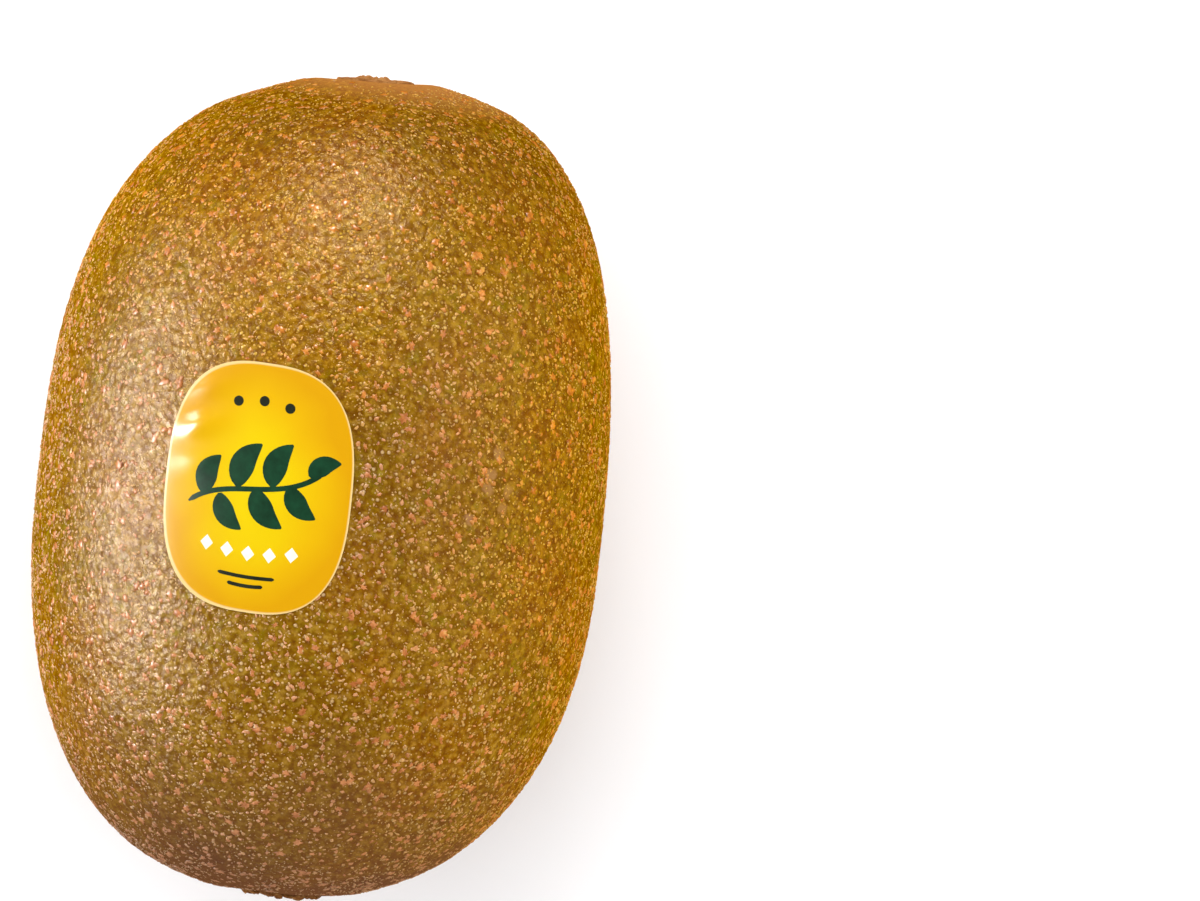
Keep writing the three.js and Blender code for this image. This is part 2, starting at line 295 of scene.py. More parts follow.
def label_place(across, along):
    """Where a place on the label lies on the skin: how far from the stem's tip, and at what turn."""
    y = LABEL["along"] + along
    arc = np.interp(-y, -OUTLINE_Y, OUTLINE_ARC)
    return arc, LABEL["turn"] - across / WIDE_RADIUS


def on_label(points, margin):
    """Whether points of the skin lie under the label, or within a margin of it."""
    turn = np.arctan2(points[..., 2] / THICKNESS_SHARE, points[..., 0])
    across = (LABEL["turn"] - turn) * WIDE_RADIUS
    along = points[..., 1] - LABEL["along"]
    half_width, half_length = LABEL["width"] / 2 + margin, LABEL["length"] / 2 + margin
    inside = np.abs(across / half_width) ** LABEL["power"] + np.abs(along / half_length) ** LABEL["power"]
    return (inside < 1) & (points[..., 2] > 0)


def beside_end(end, points):
    """How far points lie, across the fruit's axis, from the centre of an end's scar or styles."""
    distance = np.hypot(points[..., 0] - end["centre"][0], points[..., 2] - end["centre"][1])
    return np.where(points[..., 1] * end["side"] > 0, distance, np.inf)


def build_skin(material):
    """The fruit's skin, with soft dimples that stay clear of the label, the floor and the tips."""
    arcs = np.linspace(0, SKIN_LENGTH, SKIN_RINGS + 2)[1:-1]
    turns = np.arange(SKIN_SECTORS) / SKIN_SECTORS * TURN
    arc, turn = (grid.ravel() for grid in np.meshgrid(arcs, turns, indexing="ij"))
    points, _, _, outward = skin_frame(arc, turn)
    dimples = grain(points, DIMPLES, 11)
    share = 1 - on_label(points, CALM["beside_label"])
    share = share * smooth(points[:, 2] - FLOOR_LEVEL, *CALM["over_floor"])
    share = share * smooth(np.minimum(arc, SKIN_LENGTH - arc), *CALM["from_tips"])
    points = points + outward * (dimples * share)[:, None]
    tips = skin_at(np.array([0, SKIN_LENGTH]), 0)
    points = np.concatenate([points, tips])

    a, b, c, d = between_rings(SKIN_RINGS, SKIN_SECTORS)
    first, second = around(SKIN_SECTORS)
    last_ring = (SKIN_RINGS - 1) * SKIN_SECTORS
    stem_tip, blossom_tip = len(points) - 2, len(points) - 1
    faces = np.concatenate([
        np.stack([a, b, c], -1),
        np.stack([b, d, c], -1),
        np.stack([np.full(SKIN_SECTORS, stem_tip), second, first], -1),
        np.stack([np.full(SKIN_SECTORS, blossom_tip), last_ring + first, last_ring + second], -1),
    ])
    make_piece("fruit_skin", points, faces, material, "kiwi_fruit")


# The skin's specks: how many to a square millimetre, their length, width and height, the corners and
# raggedness of their outline, how far every other corner is drawn in, how much they bend, and whether
# they have a flat crown or a peak.
SPECKS = [
    dict(name="specks_pale", per_mm2=2.3, long=(0.19, 0.36), wide=(0.7, 1), high=0.055, corners=5,
         ragged=0.15, star=0, bent=0, crown=False, seed=31),
    dict(name="specks_cream", per_mm2=1.9, long=(0.17, 0.32), wide=(0.6, 1), high=0.05, corners=4,
         ragged=0.15, star=0, bent=0, crown=False, seed=35),
    dict(name="specks_tan", per_mm2=0.8, long=(0.32, 0.6), wide=(0.35, 0.75), high=0.055, corners=6,
         ragged=0.2, star=0, bent=0.5, crown=True, seed=32),
    dict(name="specks_peach", per_mm2=0.42, long=(0.34, 0.7), wide=(0.45, 0.85), high=0.06, corners=7,
         ragged=0.32, star=0, bent=0.45, crown=True, seed=33),
    dict(name="flakes_orange", per_mm2=0.3, long=(0.55, 1.2), wide=(0.45, 0.95), high=0.05, corners=12,
         ragged=0.3, star=0.42, bent=0.2, crown=True, seed=34),
]
# How deep they are rooted, how their heights, corners and crowns vary, and where they stay away.
SPECK_ROOT = 0.04
SPECK_HEIGHTS = (0.6, 1.3)
SPECK_TURNS = 0.25
CROWN = dict(share=0.62, heights=(0.75, 1.1), peak=0.15)
SPARE_PLACES = 1.25
SPECK_SPREAD = 0.42
KEPT_SHARE = 0.82
KEPT_PATCHES = [dict(depth=0.16, wave=9), dict(depth=0.14, wave=3)]
BARE = dict(beside_label=0.15, over_floor=0.15, from_tips=0.5)
STEM_BARE = dict(least=5.2, ragged=3.5)
BLOSSOM_BARE = dict(least=5.4, ragged=2)


def scatter(rng, per_mm2):
    """Places all over the skin but for its ends, the label and the flat spot, thinner in patches."""
    weight = np.cumsum(OUTLINE_RADIUS * np.gradient(OUTLINE_ARC))
    area = weight[-1] * TURN
    count = int(area * per_mm2 * SPARE_PLACES)
    share = (np.arange(count) + 0.5) / count
    arc = np.interp(share * weight[-1], weight, OUTLINE_ARC)
    golden = TURN * (1 - 2 / (1 + math.sqrt(5)))
    turn = (np.arange(count) * golden) % TURN
    spacing = SPECK_SPREAD / math.sqrt(per_mm2)
    arc = arc + rng.normal(0, spacing, count)
    radius = np.maximum(np.interp(arc, OUTLINE_ARC, OUTLINE_RADIUS), 0.5)
    turn = turn + rng.normal(0, spacing, count) / radius
    points = skin_at(arc, turn)
    keep = rng.uniform(size=count) < KEPT_SHARE + grain(points, KEPT_PATCHES, 51)
    keep &= (arc > BARE["from_tips"]) & (arc < SKIN_LENGTH - BARE["from_tips"])
    keep &= ~on_label(points, BARE["beside_label"])
    keep &= points[:, 2] > FLOOR_LEVEL + BARE["over_floor"]
    for end, bare in ((STEM_END, STEM_BARE), (BLOSSOM_END, BLOSSOM_BARE)):
        keep &= beside_end(end, points) > bare["least"] + bare["ragged"] * rng.uniform(size=count)
    return arc[keep], turn[keep]


def build_specks(kind, material):
    """One kind of speck all over the skin: low closed mounds, sunk a little into it."""
    rng = np.random.default_rng(kind["seed"])
    arc, turn = scatter(rng, kind["per_mm2"])
    points, round_it, along_it, outward = skin_frame(arc, turn)
    count, corners = len(points), kind["corners"]
    half_long = rng.uniform(*kind["long"], (count, 1)) / 2
    half_wide = half_long * rng.uniform(*kind["wide"], (count, 1))
    high = kind["high"] * rng.uniform(*SPECK_HEIGHTS, (count, 1))
    shifted = np.arange(corners) + rng.uniform(-SPECK_TURNS, SPECK_TURNS, (count, corners))
    angle = shifted / corners * TURN
    reach = 1 + kind["ragged"] * rng.uniform(-1, 1, (count, corners))
    reach[:, 1::2] *= 1 - kind["star"]
    lengthways = half_long * reach * np.cos(angle)
    bend = kind["bent"] * rng.uniform(-1, 1, (count, 1)) * half_long
    sideways = half_wide * reach * np.sin(angle) + bend * (lengthways / half_long) ** 2
    heading = rng.uniform(0, TURN, (count, 1))
    right = lengthways * np.cos(heading) - sideways * np.sin(heading)
    ahead = lengthways * np.sin(heading) + sideways * np.cos(heading)

    def lifted(share, height):
        across = round_it[:, None] * (share * right)[..., None]
        along = along_it[:, None] * (share * ahead)[..., None]
        return points[:, None] + (across + along) + outward[:, None] * height[..., None]

    rim = lifted(1, np.full((count, 1), -SPECK_ROOT))
    start = np.arange(count)[:, None, None]
    loop, after = around(corners)
    fan = np.arange(1, corners - 1)
    base_faces = np.stack([np.zeros_like(fan), fan + 1, fan], -1)
    if kind["crown"]:
        crown = lifted(CROWN["share"], high * rng.uniform(*CROWN["heights"], (count, corners)))
        peak = crown.mean(axis=1, keepdims=True) + outward[:, None] * CROWN["peak"] * high[..., None]
        cloud = np.concatenate([rim, crown, peak], axis=1)
        top = np.full_like(loop, 2 * corners)
        faces = np.concatenate([
            base_faces,
            np.stack([loop, after, corners + after], -1),
            np.stack([loop, corners + after, corners + loop], -1),
            np.stack([corners + loop, corners + after, top], -1),
        ])
    else:
        peak = points[:, None] + outward[:, None] * high[..., None]
        cloud = np.concatenate([rim, peak], axis=1)
        top = np.full_like(loop, corners)
        faces = np.concatenate([base_faces, np.stack([loop, after, top], -1)])
    all_faces = (faces[None] + start * cloud.shape[1]).reshape(-1, 3)
    cloud = cloud.reshape(-1, 3)
    cloud[:, 2] = np.maximum(cloud[:, 2], FLOOR_LEVEL)
    make_piece(kind["name"], cloud, all_faces, material)


def thickened(high, low, top, rim, beside):
    """Points and faces of a thin solid: its top, the same turned over below, and a wall round the rim."""
    under = len(high)
    wall = np.concatenate([
        np.stack([rim, under + rim, under + beside], -1),
        np.stack([rim, under + beside, beside], -1),
    ])
    return np.concatenate([high, low]), np.concatenate([top, under + top[:, ::-1], wall])


def patch_solid(place, outline, lower, upper, rings, sectors):
    """Points and faces of a closed solid that follows the skin between two heights above it."""
    share = np.arange(1, rings + 1)[:, None] / rings
    turn = (np.arange(sectors) / sectors * TURN)[None]
    reach = share * outline(turn)
    across = np.concatenate([[0], (reach * np.cos(turn)).ravel()])
    along = np.concatenate([[0], (reach * np.sin(turn)).ravel()])
    low, high = place(across, along, lower), place(across, along, upper)
    a, b, c, d = (1 + corner for corner in between_rings(rings, sectors))
    first, second = (1 + corner for corner in around(sectors))
    outer = (rings - 1) * sectors
    top = np.concatenate([
        np.stack([np.zeros_like(first), first, second], -1),
        np.stack([a, c, d], -1),
        np.stack([a, d, b], -1),
    ])
    return thickened(high, low, top, outer + first, outer + second)


def principled(name, **sockets):
    """A new material, with values for its main shader's sockets."""
    material = bpy.data.materials.new(name)
    material.use_nodes = True
    shader = material.node_tree.nodes["Principled BSDF"]
    for socket, value in sockets.items():
        shader.inputs[socket.replace("_", " ")].default_value = value
    return material, material.node_tree, shader


def srgb(code):
    """A colour written as six hexadecimal digits, in linear light, with a full alpha."""
    parts = [int(code[i:i + 2], 16) / 255 for i in (0, 2, 4)]
    return tuple(p / 12.92 if p <= 0.04045 else ((p + 0.055) / 1.055) ** 2.4 for p in parts) + (1,)


def add_node(tree, kind, **settings):
    node = tree.nodes.new(kind)
    for name, value in settings.items():
        setattr(node, name, value)
    return node


def add_placed(tree, kind, **settings):
    """A node that is fed with the place in the fruit's own frame, in metres."""
    place = add_node(tree, "ShaderNodeTexCoord")
    node = add_node(tree, kind, **settings)
    tree.links.new(place.outputs["Object"], node.inputs["Vector"])
    return node


def noise(tree, scale, detail=3, roughness=0.6, seed=0.0):
    """A noise texture in the fruit's own frame; `scale` is waves to a metre."""
    texture = add_placed(tree, "ShaderNodeTexNoise", noise_dimensions="4D")
    texture.inputs["Scale"].default_value = scale
    texture.inputs["Detail"].default_value = detail
    texture.inputs["Roughness"].default_value = roughness
    texture.inputs["W"].default_value = seed
    return texture.outputs["Fac"]


def ramp(tree, value, stops):
    """A colour ramp over a value: stops are (place, colour code)."""
    node = add_node(tree, "ShaderNodeValToRGB")
    tree.links.new(value, node.inputs["Fac"])
    elements = node.color_ramp.elements
    while len(elements) < len(stops):
        elements.new(0.5)
    for element, (place, code) in zip(elements, stops):
        element.position = place
        element.color = srgb(code)
    return node.outputs["Color"]


def remap(tree, value, low, high, to_low=0.0, to_high=1.0):
    node = add_node(tree, "ShaderNodeMapRange", clamp=True)
    tree.links.new(value, node.inputs["Value"])
    for socket, number in zip(("From Min", "From Max", "To Min", "To Max"), (low, high, to_low, to_high)):
        node.inputs[socket].default_value = number
    return node.outputs["Result"]


def blend(tree, share, first, second, mode="MIX"):
    """Two colours mixed by a share; either may be a colour code."""
    node = add_node(tree, "ShaderNodeMix", data_type="RGBA", blend_type=mode)
    for socket, value in (("Factor", share), ("A", first), ("B", second)):
        wanted = "VALUE" if socket == "Factor" else "RGBA"
        target = next(s for s in node.inputs if s.name == socket and s.type == wanted)
        if isinstance(value, str):
            target.default_value = srgb(value)
        elif isinstance(value, (int, float)):
            target.default_value = value
        else:
            tree.links.new(value, target)
    return next(s for s in node.outputs if s.type == "RGBA")


def bump(tree, shader, height, distance, strength=1.0):
    node = add_node(tree, "ShaderNodeBump")
    node.inputs["Strength"].default_value = strength
    node.inputs["Distance"].default_value = distance
    tree.links.new(height, node.inputs["Height"])
    tree.links.new(node.outputs["Normal"], shader.inputs["Normal"])


def combine(tree, operation, first, second):
    node = add_node(tree, "ShaderNodeMath", operation=operation)
    for index, value in enumerate((first, second)):
        if isinstance(value, (int, float)):
            node.inputs[index].default_value = value
        else:
            tree.links.new(value, node.inputs[index])
    return node.outputs["Value"]


def face_on(tree):
    """How much gloss a surface keeps: all of it where it is seen face on, none at a grazing angle."""
    weight = add_node(tree, "ShaderNodeLayerWeight")
    weight.inputs["Blend"].default_value = 0.5
    return remap(tree, weight.outputs["Facing"], 0.34, 0.6, 1, 0)


def gloss(tree, shader, socket, amount):
    """A gloss socket's value, faded out at grazing angles."""
    tree.links.new(combine(tree, "MULTIPLY", face_on(tree), amount), shader.inputs[socket])


def frame_axis(tree, axis):
    return add_placed(tree, "ShaderNodeSeparateXYZ").outputs[axis]


def pebbles(tree, scale):
    """The distance from the middle of each close-packed pebble of the skin's relief."""
    cells = add_placed(tree, "ShaderNodeTexVoronoi", feature="F1")
    cells.inputs["Scale"].default_value = scale
    return cells.outputs["Distance"]


def distance_from(tree, spot):
    """How far a place is from a spot, both in the frame, in metres."""
    distance = add_placed(tree, "ShaderNodeVectorMath", operation="DISTANCE")
    distance.inputs[1].default_value = spot
    return distance.outputs["Value"]


def dots(tree, scale, size, share, seed=0.0):
    """Soft round dots, one in some of the cells of a Voronoi pattern, and the ring round each of them."""
    cells = add_placed(tree, "ShaderNodeTexVoronoi", voronoi_dimensions="4D", feature="F1")
    cells.inputs["Scale"].default_value = scale
    cells.inputs["W"].default_value = seed
    split = add_node(tree, "ShaderNodeSeparateColor")
    tree.links.new(cells.outputs["Color"], split.inputs["Color"])
    chosen = remap(tree, split.outputs["Red"], share, share - 0.15)
    dot = remap(tree, cells.outputs["Distance"], size * 1.2, size * 0.6)
    halo = remap(tree, cells.outputs["Distance"], size * 2.1, size * 1.5)
    ring = combine(tree, "SUBTRACT", halo, dot)
    return combine(tree, "MULTIPLY", ring, chosen), combine(tree, "MULTIPLY", dot, chosen)


# Places in the frame, in metres, round which the skin is duller, less golden or more golden, and one round
# which painted shade darkens it beside the label.
DULL_PATCH = (0.0038, -0.0185, 0.0435)
GREY_PATCH = (0.013, -0.0185, 0.0375)
WARM_PATCH = (-0.0035, 0.0143, 0.0445)
LABEL_SHADE_PATCH = (0.0042, 0.002, 0.0452)


def golden(tree):
    """How golden the skin is at a place: more so on the right, towards the stem and above the label."""
    on_right = remap(tree, frame_axis(tree, "X"), 0.003, 0.017)
    near_stem = remap(tree, frame_axis(tree, "Y"), 0.006, 0.022)
    wander = remap(tree, noise(tree, 60, 2, 0.5, 21.0), 0.35, 0.65, 0.8, 1)
    away_from_grey = remap(tree, distance_from(tree, GREY_PATCH), 0.013, 0.005, 1, 0.45)
    wander = combine(tree, "MULTIPLY", wander, away_from_grey)
    above_label = remap(tree, distance_from(tree, WARM_PATCH), 0.014, 0.006)
    placed = combine(tree, "MAXIMUM", combine(tree, "MAXIMUM", on_right, near_stem), above_label)
    return combine(tree, "MULTIPLY", placed, wander)


def regional(tree, colour, golden_share, dull_code, dull_share):
    """A skin colour by its place: golden or dull in patches, darker with painted shade beside the label
    and towards the stem end, and darker and duller towards the blossom end, partly painted shade there.
    """
    share = combine(tree, "MULTIPLY", golden(tree), golden_share)
    colour = blend(tree, share, colour, "FFEE12", "MULTIPLY")
    patch = remap(tree, distance_from(tree, DULL_PATCH), 0.013, 0.003, 0, 0.7)
    colour = blend(tree, patch, colour, "EAE2D8", "MULTIPLY")
    # Painted shade in the hollow round the stem: darker and greyer towards the stem end.
    near_stem = remap(tree, frame_axis(tree, "Y"), 0.02, 0.03)
    # Painted shade beside the label's right edge.
    label_shade = remap(tree, distance_from(tree, LABEL_SHADE_PATCH), 0.014, 0.005, 0, 0.65)
    colour = blend(tree, combine(tree, "MAXIMUM", near_stem, label_shade), colour, "E8E4F0", "MULTIPLY")
    # Darker and duller towards the blossom end: browner skin there, and partly painted shade of that end.
    wander = remap(tree, noise(tree, 90, 3, 0.6, 22.0), 0.3, 0.7, -0.003, 0.003)
    dull = remap(tree, combine(tree, "ADD", frame_axis(tree, "Y"), wander), -0.019, -0.0335, 0, dull_share)
    return blend(tree, dull, colour, dull_code)


# Where the skin was rubbed, in millimetres about the middle of the widest ring.
SCUFFS = [
    (14, 8.3, 18.1), (13.5, 6.6, 18.5), (13.4, 5.4, 18.6),
    (15, 5.2, 17.5), (14.8, 3.9, 17.7), (12.2, 2.8, 19.5),
]
SCUFF_RADIUS = 0.55


def scuffs(tree):
    """A few small bruised blotches on one side."""
    wobble = add_placed(tree, "ShaderNodeTexNoise")
    wobble.inputs["Scale"].default_value = 900
    shift = remap(tree, wobble.outputs["Fac"], 0.3, 0.7, -0.45, 0.45)
    total = 0.0
    for spot in SCUFFS:
        distance = distance_from(tree, [(a + b) * MM for a, b in zip(spot, WIDEST_RING_AT)])
        share = combine(tree, "DIVIDE", distance, SCUFF_RADIUS * MM)
        inside = remap(tree, combine(tree, "ADD", share, shift), 1.15, 0.6)
        total = combine(tree, "MAXIMUM", total, inside)
    return total


def mottled_olive(tree, pebble):
    """The skin's ground colour: olive and gold, greener in spots, with painted shade darkening the creases
    between the pebbles.
    """
    broad = ramp(tree, noise(tree, 90, 2, 0.5, 1.0), [(0.38, "866804"), (0.5, "926A04"), (0.62, "9E6404")])
    mottle = noise(tree, 1700, 2, 0.5, 2.0)
    mottle = ramp(tree, mottle, [(0.4, "784802"), (0.5, "946C04"), (0.62, "BE9438")])
    colour = blend(tree, 0.6, broad, mottle)
    green = remap(tree, noise(tree, 520, 3, 0.6, 3.0), 0.52, 0.68, 0, 0.4)
    green = combine(tree, "MULTIPLY", green, remap(tree, frame_axis(tree, "Y"), -0.022, -0.014))
    colour = blend(tree, green, colour, "828004")
    shade = remap(tree, noise(tree, 1500, 3, 0.7, 4.0), 0.5, 0.36, 0, 0.5)
    colour = blend(tree, shade, colour, "683604")
    # Painted shade in the creases between the pebbles.
    return blend(tree, remap(tree, pebble, 0.4, 0.72, 0, 0.24), colour, "643A04")


def skin_material():
    """Waxy olive-gold skin, mottled at three scales, redder and duller towards the two ends; some of its
    darkening is painted shade, and the stem end's pale edge partly a painted sheen.
    """
    material, tree, shader = principled("kiwi_skin")
    pebble = pebbles(tree, 1500)
    rings, fine = dots(tree, 1650, 0.26, 0.9, 5.0)
    finer_rings, finer = dots(tree, 2600, 0.3, 0.9, 5.5)
    colour = mottled_olive(tree, pebble)
    # The dark rings round the dots are partly darker skin round the lenticels and partly painted shade
    # round each dot.
    for share, strength, code in (
        (finer_rings, 0.3, "6A3C06"),
        (finer, 0.6, "CCA05A"),
        (rings, 0.35, "643606"),
        (fine, 0.75, "E0BC88"),
        (scuffs(tree), 0.8, "A87E70"),
    ):
        colour = blend(tree, combine(tree, "MULTIPLY", share, strength), colour, code)
    # 66402C is the blossom end's colour, partly painted shade.
    colour = regional(tree, colour, 0.92, "66402C", 0.88)
    # Paler, redder brown at the very stem end: russet skin there, and partly a painted sheen along that
    # end's edge.
    stem = remap(tree, frame_axis(tree, "Y"), 0.0325, 0.0346, 0, 0.8)
    colour = blend(tree, stem, colour, "AC7038")
    tree.links.new(colour, shader.inputs["Base Color"])
    tree.links.new(blend(tree, golden(tree), "FFE6D2", "FFDC98"), shader.inputs["Specular Tint"])
    gloss(tree, shader, "Specular IOR Level", remap(tree, pebble, 0.25, 0.65, 0.15, 0.055))
    rough = remap(tree, noise(tree, 1100, 3, 0.6, 6.0), 0.3, 0.7, 0.2, 0.31)
    tree.links.new(rough, shader.inputs["Roughness"])
    relief = combine(tree, "ADD", noise(tree, 2100, 4, 0.65, 7.0), combine(tree, "MULTIPLY", fine, 0.4))
    relief = combine(tree, "SUBTRACT", relief, combine(tree, "MULTIPLY", pebble, 0.6))
    bump(tree, shader, relief, 0.00015, 1.0)
    return material


SPECK_COLOURS = {
    "specks_pale": ("AC8238", "E6C28A"),
    "specks_cream": ("A87C36", "E2BC84"),
    "specks_tan": ("A8743A", "DEAE74"),
    "specks_peach": ("AC6C38", "DEA274"),
    "flakes_orange": ("A8602C", "DC945C"),
}


def speck_material(name):
    """Dry corky russet, a little uneven from speck to speck and inside the larger ones."""
    dark, light = SPECK_COLOURS[name]
    material, tree, shader = principled(name + "_cork", Roughness=0.3)
    uneven = combine(tree, "ADD", noise(tree, 1200, 1, 0.5, 8.0), noise(tree, 4200, 2, 0.6, 8.5))
    colour = ramp(tree, combine(tree, "MULTIPLY", uneven, 0.5), [(0.38, dark), (0.62, light)])
    # The same darkening by place as the skin, its painted shade included.
    colour = regional(tree, colour, 0.9, "946C54", 0.7)
    tree.links.new(colour, shader.inputs["Base Color"])
    gloss(tree, shader, "Specular IOR Level", 0.12)
    bump(tree, shader, noise(tree, 5000, 2, 0.6, 9.0), 0.00004, 0.6)
    return material


def build_fruit():
    build_skin(skin_material())
    for kind in SPECKS:
        build_specks(kind, speck_material(kind["name"]))


def label_lift(across, along):
    """How far the paper stands off the skin: curled at its rim, buckled beside its upper left edge."""
    edge = np.abs(across / (LABEL["width"] / 2)) ** LABEL["power"]
    edge = edge + np.abs(along / (LABEL["length"] / 2)) ** LABEL["power"]
    wavy = 0.6 + 0.4 * np.cos(1.9 * along - 0.5 * across + 1.5)
    crest = BUCKLE["crest"] + BUCKLE["bend"] * np.maximum(along - BUCKLE["bent_from"], 0) ** 1.5
    buckle = bell(across - crest, BUCKLE["width"]) * bell(along - BUCKLE["along"], BUCKLE["length"])
    return LABEL_CURL * smooth(edge, 0.35, 1) + BUCKLE["height"] * (buckle * wavy)


def label_point(across, along, height):
    arc, turn = label_place(across, along)
    point, _, _, outward = skin_frame(arc, turn)
    return point + outward * (LABEL_LIES + label_lift(across, along) + height)[..., None]


def label_outline(turn):
    across = np.abs(np.cos(turn) / (LABEL["width"] / 2)) ** LABEL["power"]
    along = np.abs(np.sin(turn) / (LABEL["length"] / 2)) ** LABEL["power"]
    return (across + along) ** (-1 / LABEL["power"])


def label_material():
    """Glossy coated paper, bright yellow in the middle, orange-yellow outwards, with a pale cut rim."""
    material, tree, shader = principled("label_yellow", Roughness=0.3, Coat_Roughness=0.17)
    gloss(tree, shader, "Coat Weight", 0.17)
    gloss(tree, shader, "Specular IOR Level", 0.03)
    spread = LABEL["width"] / 2 / WIDE_RADIUS
    left, right = (WIDE_RADIUS * math.cos(LABEL["turn"] + side * spread) for side in (1, -1))
    middle_x = ((left + right) / 2 + WIDEST_RING_AT[0]) * MM
    middle_y = (LABEL["along"] + WIDEST_RING_AT[1]) * MM
    half_x, half_y = (right - left) / 2 * MM, LABEL["length"] / 2 * MM
    x, y = frame_axis(tree, "X"), frame_axis(tree, "Y")
    bend_turn = combine(tree, "SUBTRACT", y, (BEND_CENTRE + WIDEST_RING_AT[1]) * MM)
    bend_turn = combine(tree, "MULTIPLY", bend_turn, math.pi / (BEND_LENGTH * MM))
    bend = combine(tree, "MULTIPLY", combine(tree, "SINE", bend_turn, 0), BEND * MM)
    straight = combine(tree, "ADD", x, bend)
    across = combine(tree, "DIVIDE", combine(tree, "SUBTRACT", straight, middle_x), half_x)
    along = combine(tree, "DIVIDE", combine(tree, "SUBTRACT", y, middle_y), half_y)
    square = lambda value: combine(tree, "MULTIPLY", value, value)
    reach = combine(tree, "ADD", square(across), square(along))
    uneven = combine(tree, "ADD", reach, remap(tree, noise(tree, 120, 2, 0.5, 10.0), 0.3, 0.7, -0.2, 0.2))
    colour = ramp(tree, uneven, [(0.0, "E0C200"), (0.5, "DCAC00"), (0.95, "D49A00")])
    outwards = lambda value: combine(tree, "POWER", combine(tree, "ABSOLUTE", value, 0), LABEL["power"])
    measure = combine(tree, "ADD", outwards(across), outwards(along))
    colour = blend(tree, remap(tree, measure, 0.94, 0.97), colour, "E6C684")
    tree.links.new(colour, shader.inputs["Base Color"])
    bump(tree, shader, noise(tree, 700, 2, 0.5, 11.0), 0.00002, 0.3)
    return material


def ink_material(name, deep, pale):
    """Printed ink, a little uneven over the paper."""
    material, tree, shader = principled(name, Roughness=0.35)
    gloss(tree, shader, "Specular IOR Level", 0.08)
    colour = ramp(tree, noise(tree, 900, 3, 0.6, 12.0), [(0.35, deep), (0.65, pale)])
    tree.links.new(colour, shader.inputs["Base Color"])
    return material


INK_GAP = 0.002
INK_FILM = 0.012
INK_COLUMNS = 7


def ink_shape(spine, half_widths):
    """A thin closed film of ink on the label: a strip along a spine, as wide as it is told to be."""
    spine = np.asarray(spine, float)
    direction = unit(np.gradient(spine, axis=0))
    sideways = np.stack([-direction[:, 1], direction[:, 0]], -1) * np.asarray(half_widths, float)[:, None]
    share = np.linspace(1, -1, INK_COLUMNS)[None, :, None]
    flat = (spine[:, None] + sideways[:, None] * share).reshape(-1, 2)
    height = np.full(len(flat), LABEL_PAPER)
    low = label_point(flat[:, 0], flat[:, 1], height + INK_GAP)
    high = label_point(flat[:, 0], flat[:, 1], height + INK_FILM)
    step, column = np.meshgrid(np.arange(len(spine) - 1), np.arange(INK_COLUMNS - 1), indexing="ij")
    a = (step * INK_COLUMNS + column).ravel()
    b, c, d = a + 1, a + INK_COLUMNS, a + INK_COLUMNS + 1
    top = np.concatenate([np.stack([b, d, c], -1), np.stack([b, c, a], -1)])
    corner = np.arange(len(flat)).reshape(-1, INK_COLUMNS)
    rim = np.concatenate([corner[:, -1], corner[-1, -2::-1], corner[-2::-1, 0], corner[0, 1:-1]])
    return thickened(high, low, top, rim, np.roll(rim, -1))


def leaf(root, heading, length, width, curve=0.15):
    """The spine and half widths of a pointed leaf."""
    share = np.linspace(0.015, 0.985, 13)
    turned = math.radians(heading)
    forward = length * share
    aside = curve * length * np.sin(math.pi * share)
    spine = np.stack([
        root[0] + forward * math.cos(turned) - aside * math.sin(turned),
        root[1] + forward * math.sin(turned) + aside * math.cos(turned),
    ], -1)
    return spine, width / 2 * np.sin(math.pi * share ** 0.8) ** 0.8


def stroke(points, width):
    """A smooth stroke of even width through a few points, with rounded ends."""
    points = np.asarray(points, float)
    share = np.linspace(0, 1, len(points))
    fine = np.linspace(0, 1, 25)
    degree = min(3, len(points) - 1)
    spine = np.stack([np.polyval(np.polyfit(share, points[:, i], degree), fine) for i in (0, 1)], -1)
    ends = np.minimum(1, np.minimum(fine, 1 - fine) / 0.04 + 0.35)
    return spine, width / 2 * ends


def round_dot(centre, radius):
    """The spine and half widths of a round dot."""
    angle = np.linspace(0.12, math.pi - 0.12, 11)
    spine = np.stack([centre[0] - radius * np.cos(angle), np.full(len(angle), centre[1])], -1)
    return spine, radius * np.sin(angle)


def diamond(centre, half_width, half_height):
    """The spine and half widths of a small diamond, not quite sharp at its corners."""
    share = np.linspace(-0.97, 0.97, 5)
    spine = np.stack([centre[0] + half_width * share, np.full(5, centre[1])], -1)
    return spine, half_height * (1.02 - np.abs(share))


def green_print():
    """A leafy sprig across the middle of the label."""
    stem = stroke([(-5.6, -1.9), (-2, -0.4), (2, 0.2), (5.6, 2.1)], 0.42)
    above = [
        leaf((-4.2, -1.2), 72, 3.6, 1.9),
        leaf((-1.4, -0.2), 66, 4.2, 2.1),
        leaf((1.5, 0.2), 70, 4.0, 2.0),
    ]
    below = [
        leaf((-2.9, -0.8), -52, 3.5, 1.8, -0.15),
        leaf((0.1, 0.0), -50, 3.9, 2.0, -0.15),
        leaf((2.9, 0.6), -46, 3.4, 1.8, -0.15),
    ]
    tip = leaf((4.4, 1.5), 30, 2.9, 1.6)
    return [stem, *above, *below, tip]


def white_print():
    """A row of small diamonds under the sprig."""
    places = (-3.6, -1.8, 0, 1.8, 3.6)
    return [diamond((place, -5.4 + 0.03 * place * place), 0.55, 0.62) for place in places]


def dark_print():
    """Three dots over the sprig, and a short double rule at the bottom."""
    three_dots = [round_dot((place, 7.1 - 0.06 * place * place), 0.42) for place in (-2.2, 0, 2.2)]
    rules = [
        stroke([(-reach, height), (0, height - 0.12), (reach, height)], 0.3)
        for reach, height in ((2.4, -7.2), (1.5, -7.95))
    ]
    return three_dots + rules


